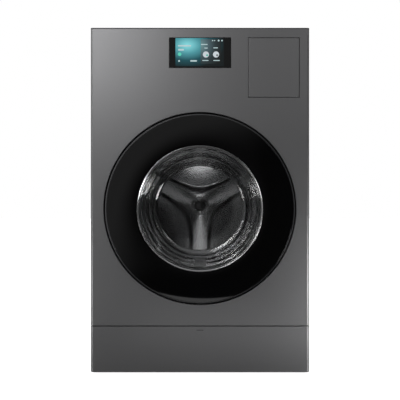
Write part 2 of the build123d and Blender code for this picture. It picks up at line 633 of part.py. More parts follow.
with BuildPart() as door_lock:
    block((LATCH_X - 23, LATCH_X + 18), (46.3, 84), (492, 548))
    block((LATCH_X - 21, LATCH_X + 16), (46, 78), (502, 538), Mode.SUBTRACT)
save(door_lock, "door_lock")

with BuildPart() as hinge_leaf:
    rod(point(HINGE_X, HINGE_DEPTH, DRUM_Z - 25), UP, 4.1, 50)
    block((HINGE_X, -236), (-8, -5.4), (DRUM_Z - 25, DRUM_Z + 25))
    block((-238.6, -236), (-8, 28.3), (DRUM_Z - 25, DRUM_Z + 25))
    block((-238.6, -212), (25.8, 28.3), (DRUM_Z - 25, DRUM_Z + 25))
    rod(point(HINGE_X, HINGE_DEPTH, DRUM_Z - 30), UP, PIN_R + RUN_FIT, 60, Mode.SUBTRACT)
save(hinge_leaf, "hinge_leaf")

# steel bracket with two arms and the fixed hinge pin
with BuildPart() as hinge_bracket:
    block((-288, -252), (41.4, 43.8), (DRUM_Z - 52, DRUM_Z + 52))
    for low in (DRUM_Z - 36, DRUM_Z + 25.6):
        block((HINGE_X + 1, HINGE_X + 9), (-4, 43), (low, low + 10.4))
        rod(point(HINGE_X, HINGE_DEPTH, low), UP, 4.1, 10.4)
        rod(point(HINGE_X, HINGE_DEPTH, low - 1), UP, PIN_R + RUN_FIT, 14, Mode.SUBTRACT)
    rod(point(HINGE_X, HINGE_DEPTH, DRUM_Z - 37), UP, PIN_R, 74)
save(hinge_bracket, "hinge_bracket")

# ------------------------------------------------------------------ lower cover, feet and fixings

with BuildPart() as plinth_cover:
    wrapped_panel(FLOOR_GAP, PLINTH_TOP, 14)
    block((-11, 11), (-2, 5), (139, 140.6), Mode.SUBTRACT)
    for side in (-1, 1):
        block(sorted((side * 258, side * 341)), (SHEET, 23), (7, 9.4), Mode.SUBTRACT)
        block(sorted((side * 341, side * 345)), (14, 23), (7, 26), Mode.SUBTRACT)
        block(sorted((side * 253, side * 259)), (1, 15), (13, 27))
        rod(point(side * 258, *PLINTH_AXIS), (side, 0, 0), 3, 18)
save(plinth_cover, "plinth_cover")

for side, side_name in ((-1, "left"), (1, "right")):
    for foot_depth, end_name in zip(FOOT_DEPTHS, ("front", "rear")):
        with BuildPart() as foot:
            rod(point(side * FOOT_X, foot_depth, 0), UP, 23, 7)
            fillet(foot.edges().filter_by(GeomType.CIRCLE), 1.2)
            with BuildSketch(Plane.XY.offset(6.5)) as nut:
                with Locations((side * FOOT_X, FRONT_Y + foot_depth)):
                    RegularPolygon(15, 6)
            extrude(nut.sketch, amount=6)
            rod(point(side * FOOT_X, foot_depth, 7), UP, FOOT_STUD_R, 61)
        save(foot, f"foot_{end_name}_{side_name}")

# collar that the supply lead passes through
with BuildPart() as mains_gland:
    rod(point(GLAND_X, 824, GLAND_Z), INWARD, 8.2, 10)
    rod(point(GLAND_X, BODY_DEPTH + 0.1, GLAND_Z), INWARD, 12, 8)
    fillet(mains_gland.edges().group_by(Axis.Y)[-1], 2)
    rod(point(GLAND_X, 820, GLAND_Z), INWARD, GLAND_BORE_R, 30, Mode.SUBTRACT)
save(mains_gland, "mains_gland")

# pan-head screws round the rear sheet and its cover
with BuildPart() as panel_screws:
    rear_rows = [(x, z) for z in (40, 300, 560, 820, 1062) for x in (-332, 332)]
    cover_ring = PolarLocations(185, 8)
    centres = rear_rows + [(place.position.X, DRUM_Z + place.position.Y) for place in cover_ring]
    for x, z in centres:
        seat = BODY_DEPTH + (0.1 if abs(x) > 300 else 1.5)
        rod(point(x, seat, z), INWARD, 5, 2.6)
    fillet(panel_screws.edges().filter_by(GeomType.CIRCLE).group_by(Axis.Y)[-1], 1)
save(panel_screws, "panel_screws")
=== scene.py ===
import bpy
import bmesh
import math
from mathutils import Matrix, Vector


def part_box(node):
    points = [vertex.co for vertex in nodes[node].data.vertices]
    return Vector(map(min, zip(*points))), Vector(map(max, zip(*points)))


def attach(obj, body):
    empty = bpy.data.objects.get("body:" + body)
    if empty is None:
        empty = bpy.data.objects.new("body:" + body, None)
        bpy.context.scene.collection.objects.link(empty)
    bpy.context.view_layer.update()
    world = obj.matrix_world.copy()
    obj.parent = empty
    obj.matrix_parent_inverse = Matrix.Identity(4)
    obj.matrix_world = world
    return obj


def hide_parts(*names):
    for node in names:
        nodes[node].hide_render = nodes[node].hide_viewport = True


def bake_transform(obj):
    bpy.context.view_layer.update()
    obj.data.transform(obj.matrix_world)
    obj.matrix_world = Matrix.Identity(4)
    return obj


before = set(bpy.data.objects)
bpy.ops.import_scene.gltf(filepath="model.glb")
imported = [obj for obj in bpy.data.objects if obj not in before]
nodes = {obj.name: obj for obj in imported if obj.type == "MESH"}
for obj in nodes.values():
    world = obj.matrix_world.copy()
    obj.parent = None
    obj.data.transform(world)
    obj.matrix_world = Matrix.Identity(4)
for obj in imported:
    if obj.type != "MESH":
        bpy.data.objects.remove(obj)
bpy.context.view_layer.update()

# ---------------------------------------------------------------- camera and studio
# The machine is looked at square on, from the height of the cabinet's middle.
# The floor and the world are pale. A soft key light hangs up and to the left, weaker ones
# fill the sides, foot and back, and small ones stand in the drum behind the door's ring.
FRONT_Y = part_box("front_panel")[0].y
CABINET_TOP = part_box("top_cover")[1].z
CAMERA_DISTANCE = 1.738
camera_data = bpy.data.cameras.new("camera")
camera_data.lens = 50.0
camera_data.sensor_width = 36.0
camera = bpy.data.objects.new("camera", camera_data)
camera.location = (0.0, FRONT_Y - CAMERA_DISTANCE, CABINET_TOP / 2 + 0.004)
camera.rotation_euler = (math.radians(90), 0.0, 0.0)
bpy.context.scene.collection.objects.link(camera)
bpy.context.scene.camera = camera
bpy.context.scene.view_settings.view_transform = "Standard"


def add_light(name, place, target, size, power):
    """A square soft light that shines from a place towards a target."""
    data = bpy.data.lights.new(name, "AREA")
    data.shape = "RECTANGLE"
    data.size, data.size_y = size
    data.energy = power
    light = bpy.data.objects.new(name, data)
    light.location = place
    light.rotation_euler = (Vector(target) - Vector(place)).to_track_quat("-Z", "Y").to_euler()
    bpy.context.scene.collection.objects.link(light)


add_light("key", (-1.2, -3.4, 2.2), (-0.1, FRONT_Y, 0.8), (1.1, 1.1), 28)
add_light("fill_right", (1.7, -3.4, 2.0), (0, FRONT_Y, 0.5), (0.9, 0.9), 6)
add_light("fill_left", (-2.9, -2.4, 1.9), (0, FRONT_Y, 0.4), (1.2, 1.2), 14)
add_light("low_right", (1.1, -1.2, 0.06), (0.15, FRONT_Y, 0.15), (0.7, 0.4), 10.5)
add_light("low_left", (-1.2, -1.3, 0.06), (-0.1, FRONT_Y, 0.15), (0.7, 0.4), 4.5)
add_light("low_centre", (0.1, -1.0, 0.02), (0.0, FRONT_Y, 0.12), (0.8, 0.1), 0.25)
add_light("overhead", (0, 0.4, 3.2), (0, 0.4, 0), (2.0, 1.2), 12)
add_light("drum_top", (0, FRONT_Y + 0.16, 0.735), (0, FRONT_Y + 0.70, 0.55), (0.12, 0.02), 0.07)
add_light("drum_low", (0, FRONT_Y + 0.2, 0.305), (0, FRONT_Y + 0.70, 0.40), (0.05, 0.02), 0.022)
for side in (-1, 1):
    add_light("drum_side", (side * 0.2, FRONT_Y + 0.16, 0.60), (-side * 0.19, FRONT_Y + 0.70, 0.37),
              (0.05, 0.02), 0.012)
add_light("back_left", (-2.2, 2.8, 2.2), (0, 0, 0.5), (2.4, 2.4), 24)
add_light("back_right", (2.6, 2.4, 1.8), (0, 0, 0.5), (2.4, 2.4), 18)

world = bpy.data.worlds.new("studio")
bpy.context.scene.world = world
world.use_nodes = True
sky = world.node_tree
sky.nodes.clear()


def sky_node(kind, **settings):
    """A node of the studio's sky with its settings."""
    made = sky.nodes.new(kind)
    for key, value in settings.items():
        setattr(made, key, value)
    return made


sky_out = sky_node("ShaderNodeOutputWorld")
seen = sky_node("ShaderNodeBackground")
seen.inputs["Color"].default_value = (1, 1, 1, 1)
seen.inputs["Strength"].default_value = 1.0
reflected = sky_node("ShaderNodeBackground")
choose = sky_node("ShaderNodeMixShader")
light_path = sky_node("ShaderNodeLightPath")
direction = sky_node("ShaderNodeTexCoord")


def sky_ramp(heading, low, high, dark, bright):
    """A strength that rises from dark to bright as the view turns towards a heading."""
    facing = sky_node("ShaderNodeVectorMath", operation="DOT_PRODUCT")
    facing.inputs[1].default_value = heading
    ramp = sky_node("ShaderNodeMapRange", interpolation_type="SMOOTHSTEP")
    for key, value in (("From Min", low), ("From Max", high), ("To Min", dark), ("To Max", bright)):
        ramp.inputs[key].default_value = value
    sky.links.new(direction.outputs["Generated"], facing.inputs[0])
    sky.links.new(facing.outputs["Value"], ramp.inputs["Value"])
    return ramp.outputs["Result"]


together = sky_node("ShaderNodeMath", operation="ADD")
sky.links.new(sky_ramp((-0.75, 0, 0.66), -0.05, 0.16, 0.008, 0.34), together.inputs[0])
sky.links.new(sky_ramp((0, 1, 0), -0.55, 0.3, 0.0, 0.4), together.inputs[1])
sky.links.new(together.outputs[0], reflected.inputs["Strength"])
sky.links.new(light_path.outputs["Is Camera Ray"], choose.inputs["Fac"])
sky.links.new(reflected.outputs[0], choose.inputs[1])
sky.links.new(seen.outputs[0], choose.inputs[2])
sky.links.new(choose.outputs[0], sky_out.inputs["Surface"])

floor_mesh = bpy.data.meshes.new("floor")
FLOOR_HALF = 14.0
floor_mesh.from_pydata([(-FLOOR_HALF, -FLOOR_HALF, 0), (FLOOR_HALF, -FLOOR_HALF, 0),
                        (FLOOR_HALF, FLOOR_HALF, 0), (-FLOOR_HALF, FLOOR_HALF, 0)], [], [(0, 1, 2, 3)])
floor = bpy.data.objects.new("floor", floor_mesh)
bpy.context.scene.collection.objects.link(floor)
floor_paint = bpy.data.materials.new("floor paint")
floor_paint.use_nodes = True
floor_shader = floor_paint.node_tree.nodes["Principled BSDF"]
floor_shader.inputs["Base Color"].default_value = (0.85, 0.85, 0.85, 1)
floor_shader.inputs["Roughness"].default_value = 0.9
floor_shader.inputs["Emission Color"].default_value = (1, 1, 1, 1)
floor_shader.inputs["Emission Strength"].default_value = 0.9
floor.visible_glossy = False
floor.visible_diffuse = False
floor.visible_transmission = False
floor_mesh.materials.append(floor_paint)

# ---------------------------------------------------------------- painted steel cabinet
# Front sheet, lower cover, drawer front, side sheets and lid: cold-rolled steel, pressed and
# folded. All but the lid are finished in one satin graphite lacquer over a fine upright brushed
# grain; the lid has a much darker, near-black lacquer of its own.


def arithmetic(tree):
    """A function that adds one step of arithmetic to a tree, between sockets or numbers."""
    def reckon(operation, *values):
        step = tree.nodes.new("ShaderNodeMath")
        step.operation = operation
        for index, value in enumerate(values):
            if isinstance(value, (int, float)):
                step.inputs[index].default_value = value
            else:
                tree.links.new(value, step.inputs[index])
        return step.outputs[0]
    return reckon


def grain_group():
    """Colour, roughness and height that wander over a surface along a stretched noise."""
    group = bpy.data.node_groups.new("surface grain", "ShaderNodeTree")
    face = group.interface
    for name, kind, start in (
        ("Colour", "NodeSocketColor", (0.5, 0.5, 0.5, 1)), ("Depth", "NodeSocketFloat", 0.1),
        ("Roughness", "NodeSocketFloat", 0.4), ("Spread", "NodeSocketFloat", 0.1),
        ("Stretch", "NodeSocketVector", (100, 100, 100)), ("Smudge", "NodeSocketFloat", 0.05),
    ):
        face.new_socket(name, in_out="INPUT", socket_type=kind).default_value = start
    for name, kind in (("Colour", "NodeSocketColor"), ("Roughness", "NodeSocketFloat"),
                       ("Height", "NodeSocketFloat")):
        face.new_socket(name, in_out="OUTPUT", socket_type=kind)
    add, link = group.nodes.new, group.links.new
    given, result = add("NodeGroupInput"), add("NodeGroupOutput")
    place, scaled = add("ShaderNodeTexCoord"), add("ShaderNodeVectorMath")
    scaled.operation = "MULTIPLY"
    link(place.outputs["Object"], scaled.inputs[0])
    link(given.outputs["Stretch"], scaled.inputs[1])
    fine, broad = add("ShaderNodeTexNoise"), add("ShaderNodeTexNoise")
    fine.inputs["Scale"].default_value = 1.0
    fine.inputs["Detail"].default_value = 3.0
    broad.inputs["Scale"].default_value = 5.0
    broad.inputs["Detail"].default_value = 4.0
    link(scaled.outputs[0], fine.inputs["Vector"])
    link(place.outputs["Object"], broad.inputs["Vector"])

    reckon = arithmetic(group)
    shade = reckon("MULTIPLY", fine.outputs["Fac"], given.outputs["Depth"])
    keep = reckon("SUBTRACT", 1.0, shade)
    tinted = add("ShaderNodeVectorMath")
    tinted.operation = "SCALE"
    link(given.outputs["Colour"], tinted.inputs[0])
    link(keep, tinted.inputs["Scale"])
    off_middle = reckon("SUBTRACT", fine.outputs["Fac"], 0.5)
    broad_off = reckon("SUBTRACT", broad.outputs["Fac"], 0.5)
    grainy = reckon("MULTIPLY", off_middle, given.outputs["Spread"])
    smudged = reckon("MULTIPLY", broad_off, given.outputs["Smudge"])
    rough = reckon("ADD", reckon("ADD", given.outputs["Roughness"], grainy), smudged)
    link(tinted.outputs[0], result.inputs["Colour"])
    link(rough, result.inputs["Roughness"])
    link(fine.outputs["Fac"], result.inputs["Height"])
    return group


SURFACE_GRAIN = grain_group()


def surface(name, colour, rough, metallic=0.0, depth=0.12, spread=0.08, smudge=0.05,
            stretch=(400, 400, 400), relief=0.00002):
    """A material whose colour, roughness and relief come from the surface grain."""
    made = bpy.data.materials.new(name)
    made.use_nodes = True
    tree = made.node_tree
    shader = tree.nodes["Principled BSDF"]
    grain = tree.nodes.new("ShaderNodeGroup")
    grain.node_tree = SURFACE_GRAIN
    for key, value in (("Colour", (*colour, 1)), ("Depth", depth), ("Roughness", rough),
                       ("Spread", spread), ("Stretch", stretch), ("Smudge", smudge)):
        grain.inputs[key].default_value = value
    bump = tree.nodes.new("ShaderNodeBump")
    bump.inputs["Strength"].default_value = 1.0
    bump.inputs["Distance"].default_value = relief
    tree.links.new(grain.outputs["Colour"], shader.inputs["Base Color"])
    tree.links.new(grain.outputs["Roughness"], shader.inputs["Roughness"])
    tree.links.new(grain.outputs["Height"], bump.inputs["Height"])
    tree.links.new(bump.outputs["Normal"], shader.inputs["Normal"])
    shader.inputs["Metallic"].default_value = metallic
    return made


def dress(material, *names):
    """Give CAD nodes a material."""
    for name in names:
        mesh = nodes[name].data
        mesh.materials.clear()
        mesh.materials.append(material)


graphite = surface("graphite lacquer", (0.2, 0.2, 0.204), 0.4, metallic=0.85, depth=0.06,
                   spread=0.05, smudge=0.04, stretch=(1500, 1500, 12), relief=0.000002)
dress(graphite, "front_panel", "plinth_cover", "drawer_front", "side_panel_left",
      "side_panel_right")
# The lid is painted near black. This is partly its own dark lacquer and partly painted shade: its thin
# front edge draws the dark line along the top of the front, standing in for the shade of the gap between
# the lid and the front sheet.
lid_lacquer_and_gap_shade = surface("lid lacquer and painted gap shade", (0.05, 0.05, 0.052), 0.6, metallic=0.3, depth=0.08,
                    stretch=(600, 600, 600), relief=0.000004)
dress(lid_lacquer_and_gap_shade, "top_cover")

# ---------------------------------------------------------------- plated sheet at the back and inside
# Rear sheet, motor cover, base tray and ties: zinc-plated steel, left bare, with its faint
# crystal mottling; folded, spot welded and screwed.
zinc = surface("zinc plate", (0.5, 0.51, 0.52), 0.42, metallic=0.9, depth=0.3, spread=0.25,
               smudge=0.1, stretch=(60, 60, 60), relief=0.000006)
dress(zinc, "rear_panel", "rear_service_cover", "base_frame", "top_rails")

# ---------------------------------------------------------------- black moulded parts
# Door recess, door carrier, lock, pump and ducts: glass-filled polypropylene with the fine
# stipple that the mould leaves.
black_plastic = surface("black moulding", (0.022, 0.022, 0.023), 0.5, depth=0.3, spread=0.15,
                        stretch=(1800, 1800, 1800), relief=0.00003)
grey_plastic = surface("grey moulding", (0.42, 0.43, 0.44), 0.45, depth=0.1, spread=0.12,
                       stretch=(1400, 1400, 1400), relief=0.00002)
tub_plastic = surface("tub moulding", (0.6, 0.6, 0.59), 0.5, depth=0.12, stretch=(300, 300, 300),
                      relief=0.00004)
dress(black_plastic, "door_well", "door_frame", "door_lock", "duct_housing", "drain_pump",
      "filter_cap", "pump_impeller", "fan_wheel", "damper_cylinders", "mains_gland")
dress(grey_plastic, "drawer_housing", "drawer_tray", "tank_lid", "inlet_valves", "latch_hook")
dress(tub_plastic, "tub_front", "tub_rear")

# ---------------------------------------------------------------- working metals inside
# Machined shaft and bearings, cast spider and ballast, copper pipe, aluminium fins and the
# enamelled compressor can, each as it leaves its own process.
steel = surface("machined steel", (0.6, 0.6, 0.61), 0.28, metallic=1.0, depth=0.15,
                stretch=(30, 900, 30), relief=0.000004)
dress(steel, "drum_shaft", "bearings", "hinge_leaf", "hinge_bracket", "suspension_springs",
      "damper_rods")
dress(surface("cast aluminium", (0.55, 0.56, 0.57), 0.55, metallic=0.9, depth=0.3,
              stretch=(350, 350, 350), relief=0.0001), "drum_spider")
dress(surface("cast ballast", (0.16, 0.16, 0.16), 0.85, depth=0.5, stretch=(220, 220, 220),
              relief=0.0004), "counterweights")
dress(surface("fin aluminium", (0.78, 0.79, 0.8), 0.35, metallic=1.0, depth=0.15,
              stretch=(200, 200, 200)), "heat_exchangers")
dress(surface("compressor enamel", (0.012, 0.012, 0.012), 0.3, depth=0.3,
              stretch=(500, 500, 500), relief=0.00003), "compressor")
dress(surface("copper", (0.72, 0.36, 0.22), 0.3, metallic=1.0, depth=0.35,
              stretch=(90, 90, 90)), "refrigerant_pipes")
dress(surface("wound stator", (0.25, 0.16, 0.09), 0.5, metallic=0.4, depth=0.5,
              stretch=(500, 500, 500), relief=0.0001), "stator")
dress(surface("plated rotor", (0.5, 0.5, 0.48), 0.35, metallic=1.0, depth=0.2,
              stretch=(120, 120, 120)), "rotor", "fan_motor")
dress(surface("circuit board", (0.02, 0.12, 0.05), 0.45, depth=0.5, stretch=(700, 700, 700),
              relief=0.0001), "control_boards")
dress(surface("hose rubber", (0.025, 0.025, 0.025), 0.6, depth=0.3, stretch=(600, 600, 600),
              relief=0.00004), "internal_hoses", "tub_bellows")
foot_rubber = surface("foot rubber", (0.02, 0.02, 0.02), 0.7, depth=0.3,
                      stretch=(500, 500, 500), relief=0.00004)
dress(foot_rubber, "foot_front_left", "foot_front_right", "foot_rear_left", "foot_rear_right")

# ---------------------------------------------------------------- door
# A flat ring of black tempered glass in a thin metal rim; a bright trim ring joins it to the
# clear pressed bowl that reaches through the gasket.
RIM_LOW, RIM_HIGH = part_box("door_rim")
DRUM_Z = (RIM_LOW.z + RIM_HIGH.z) / 2
WINDOW_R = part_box("window_trim")[1].x


def lathe(name, outline, material, steps=256, sharp=32.0):
    """A ring turned about the drum's axis from (radius, y) points, with its faces outward."""
    points = []
    for step in range(steps):
        angle = math.tau * step / steps
        for radius, y in outline:
            points.append((radius * math.cos(angle), y, DRUM_Z + radius * math.sin(angle)))
    count = len(outline)
    faces = []
    for step in range(steps):
        this, after = step * count, (step + 1) % steps * count
        for index in range(count):
            follow = (index + 1) % count
            faces.append((this + index, after + index, after + follow, this + follow))
    mesh = bpy.data.meshes.new(name)
    mesh.from_pydata(points, [], faces)
    return finish_mesh(name, mesh, material, sharp)


def finish_mesh(name, mesh, material, sharp=32.0):
    """Merge, point the faces outward, shade and place a mesh in the scene."""
    work = bmesh.new()
    work.from_mesh(mesh)
    bmesh.ops.remove_doubles(work, verts=work.verts, dist=0.000001)
    bmesh.ops.recalc_face_normals(work, faces=work.faces)
    work.to_mesh(mesh)
    work.free()
    mesh.shade_smooth()
    mesh.set_sharp_from_angle(angle=math.radians(sharp))
    mesh.materials.clear()
    mesh.materials.append(material)
    piece = bpy.data.objects.new(name, mesh)
    bpy.context.scene.collection.objects.link(piece)
    return piece


def rounded(outline, radius, steps=4):
    """A closed outline with each corner rounded to at most a radius."""
    result = []
    count = len(outline)
    for index, corner in enumerate(outline):
        here = Vector(corner)
        before = Vector(outline[index - 1]) - here
        after = Vector(outline[(index + 1) % count]) - here
        reach = min(radius, before.length * 0.45, after.length * 0.45)
        start = here + before.normalized() * reach
        end = here + after.normalized() * reach
        for step in range(steps + 1):
            t = step / steps
            mixed = start * (1 - t) ** 2 + here * (2 * t * (1 - t)) + end * t ** 2
            result.append(tuple(mixed))
    return result


black_glass = surface("black glass", (0.002, 0.002, 0.0022), 0.05, depth=0.3, spread=0.01,
                      smudge=0.02, stretch=(40, 40, 40), relief=0.0000005)
GLASS_LOW, GLASS_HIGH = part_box("door_glass")
glass_ring = lathe("door_glass_ring", rounded([
    (WINDOW_R + 0.0002, GLASS_LOW.y), (GLASS_HIGH.x, GLASS_LOW.y),
    (GLASS_HIGH.x, GLASS_HIGH.y), (WINDOW_R + 0.0002, GLASS_HIGH.y)], 0.0004), black_glass)
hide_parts("door_glass")
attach(glass_ring, "door")

rim_metal = surface("rim metal", (0.16, 0.16, 0.165), 0.24, metallic=1.0, depth=0.1,
                    spread=0.05, stretch=(300, 300, 300), relief=0.000001)
dress(rim_metal, "door_rim")

trim_metal = surface("trim metal", (0.55, 0.55, 0.56), 0.16, metallic=1.0, depth=0.08,
                     spread=0.04, stretch=(300, 300, 300), relief=0.000001)
TRIM_LOW, TRIM_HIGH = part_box("window_trim")
trim_ring = lathe("window_trim_ring", rounded([
    (WINDOW_R, TRIM_LOW.y), (WINDOW_R - 0.0017, TRIM_LOW.y), (WINDOW_R - 0.0048, TRIM_LOW.y + 0.0026),
    (WINDOW_R - 0.0048, TRIM_HIGH.y), (WINDOW_R, TRIM_HIGH.y)], 0.0006), trim_metal)
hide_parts("window_trim")
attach(trim_ring, "door")

clear_glass = bpy.data.materials.new("pressed glass")
clear_glass.use_nodes = True
glass_tree = clear_glass.node_tree
glass_shader = glass_tree.nodes["Principled BSDF"]
glass_shader.inputs["Transmission Weight"].default_value = 1.0
glass_shader.inputs["IOR"].default_value = 1.47
glass_shader.inputs["Metallic"].default_value = 0.0
glass_grain = glass_tree.nodes.new("ShaderNodeGroup")
glass_grain.node_tree = SURFACE_GRAIN
for key, value in (("Colour", (0.96, 0.97, 0.97, 1)), ("Depth", 0.02), ("Roughness", 0.004),
                   ("Spread", 0.004), ("Stretch", (12, 12, 12)), ("Smudge", 0.004)):
    glass_grain.inputs[key].default_value = value
glass_bump = glass_tree.nodes.new("ShaderNodeBump")
glass_bump.inputs["Distance"].default_value = 0.00003
glass_tree.links.new(glass_grain.outputs["Colour"], glass_shader.inputs["Base Color"])
glass_tree.links.new(glass_grain.outputs["Roughness"], glass_shader.inputs["Roughness"])
glass_tree.links.new(glass_grain.outputs["Height"], glass_bump.inputs["Height"])
glass_tree.links.new(glass_bump.outputs["Normal"], glass_shader.inputs["Normal"])

BOWL_LOW, BOWL_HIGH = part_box("door_bowl")
WALL = 0.0045


def bowl_outline():
    """The bowl's section: flange, tapering wall, round shoulder and a flat bottom."""
    flange, back = BOWL_LOW.y, BOWL_HIGH.y
    outer = [(BOWL_HIGH.x, flange), (BOWL_HIGH.x, flange + 0.005), (0.1912, flange + 0.005),
             (0.174, back - 0.034), (0.150, back - 0.006), (0.110, back - 0.002), (0.0, back)]
    inner = [(0.0, back - WALL), (0.109, back - WALL - 0.002), (0.147, back - WALL - 0.006),
             (0.169, back - 0.036), (0.187, flange)]
    return rounded(outer + inner, 0.009, steps=6)


bowl = lathe("door_glass_bowl", [(max(r, 0.0), y) for r, y in bowl_outline()], clear_glass,
             steps=192, sharp=50)
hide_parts("door_bowl")
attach(bowl, "door")

# ---------------------------------------------------------------- drum
# Stainless steel: a perforated wrapper rolled and lock-seamed to a pressed back, whose three
# shallow dished fields leave a three-armed boss round the hub cap.
BACK_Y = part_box("drum_shell")[1].y
SHELL_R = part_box("drum_shell")[1].x
WRAP_FRONT_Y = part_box("drum_shell")[0].y
drum_steel = surface("drum steel", (0.3, 0.3, 0.306), 0.22, metallic=1.0, depth=0.1, spread=0.04,
                     smudge=0.03, stretch=(300, 300, 300), relief=0.0000006)


def smooth(low, high, value):
    """A soft step from 0 at low to 1 at high."""
    t = min(max((value - low) / (high - low), 0.0), 1.0)
    return t * t * (3 - 2 * t)


DISH_R = 0.202
FIELD_OFFSET, FIELD_R = 0.3126, 0.2296
FLUTES = 150


def back_relief(radius, angle):
    """How far the pressed back stands forward of its sheet, at a radius and an angle."""
    x, z = radius * math.cos(angle), radius * math.sin(angle)
    star = 1.0
    for field in range(3):
        heading = math.radians(90 + 120 * field)
        away = math.hypot(x - FIELD_OFFSET * math.cos(heading), z - FIELD_OFFSET * math.sin(heading))
        star = min(star, smooth(-0.005, 0.010, away - FIELD_R))
    inside = 1 - smooth(DISH_R - 0.005, DISH_R, radius)
    out = max(radius, 0.05) - 0.05
    crown = 0.027 - 0.17 * out + 0.55 * out ** 2
    seat = 0.007 * (1 - smooth(0.040, 0.052, radius))
    height = inside * star * (crown - seat) + inside * (1 - star) * 0.002
    flute = smooth(-0.3, 0.3, math.cos(FLUTES * angle))
    height += 0.007 * flute * smooth(0.2025, 0.205, radius) * (1 - smooth(0.2155, 0.2185, radius))
    height += 0.005 * smooth(0.2190, 0.2225, radius) + 0.016 * smooth(0.222, 0.274, radius)
    height -= 0.003 * smooth(0.2440, 0.2465, radius) * (1 - smooth(0.2485, 0.251, radius))
    return height


def polar_sheet(name, radii, steps, height, base_y, material):
    """A round sheet facing the door, pressed to a height at each radius and angle."""
    points = [(0.0, base_y - height(0.0, 0.0), DRUM_Z)]
    for radius in radii:
        for step in range(steps):
            angle = math.tau * step / steps
            points.append((radius * math.cos(angle), base_y - height(radius, angle),
                           DRUM_Z + radius * math.sin(angle)))
    faces = [(0, 1 + step, 1 + (step + 1) % steps) for step in range(steps)]
    for ring in range(len(radii) - 1):
        low, high = 1 + ring * steps, 1 + (ring + 1) * steps
        for step in range(steps):
            after = (step + 1) % steps
            faces.append((low + step, high + step, high + after, low + after))
    mesh = bpy.data.meshes.new(name)
    mesh.from_pydata(points, [], faces)
    return mesh


inner_radii = [0.006 * step for step in range(1, 33)]
outer_radii = [0.196 + 0.00245 * step for step in range(32)]
back_mesh = polar_sheet("drum_back_pressing", inner_radii + outer_radii, 720, back_relief,
                        BACK_Y - 0.0012, drum_steel)
drum_back = finish_mesh("drum_back_pressing", back_mesh, drum_steel, sharp=60)
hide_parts("drum_back")
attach(drum_back, "drum")

cap_metal = surface("hub cap plastic", (0.03, 0.03, 0.032), 0.18, metallic=0.3, depth=0.2,
                    stretch=(300, 300, 300), relief=0.000002)
CAP_Y = BACK_Y - 0.022
hub_cap = lathe("hub_cap_turned", [
    (0.0, CAP_Y - 0.007), (0.012, CAP_Y - 0.0068), (0.022, CAP_Y - 0.006),
    (0.029, CAP_Y - 0.0045), (0.0325, CAP_Y - 0.0048), (0.0355, CAP_Y - 0.0085),
    (0.0385, CAP_Y - 0.0085), (0.0402, CAP_Y - 0.005), (0.041, CAP_Y), (0.041, CAP_Y + 0.004),
    (0.0, CAP_Y + 0.004)], cap_metal, steps=96, sharp=70)
cap_rim = lathe("hub_cap_rim", rounded([
    (0.0413, CAP_Y + 0.004), (0.0413, CAP_Y - 0.006), (0.0435, CAP_Y - 0.0095),
    (0.0475, CAP_Y - 0.0065), (0.0500, CAP_Y + 0.004)], 0.0015), trim_metal, steps=96, sharp=70)
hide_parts("hub_cap")
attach(hub_cap, "drum")
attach(cap_rim, "drum")


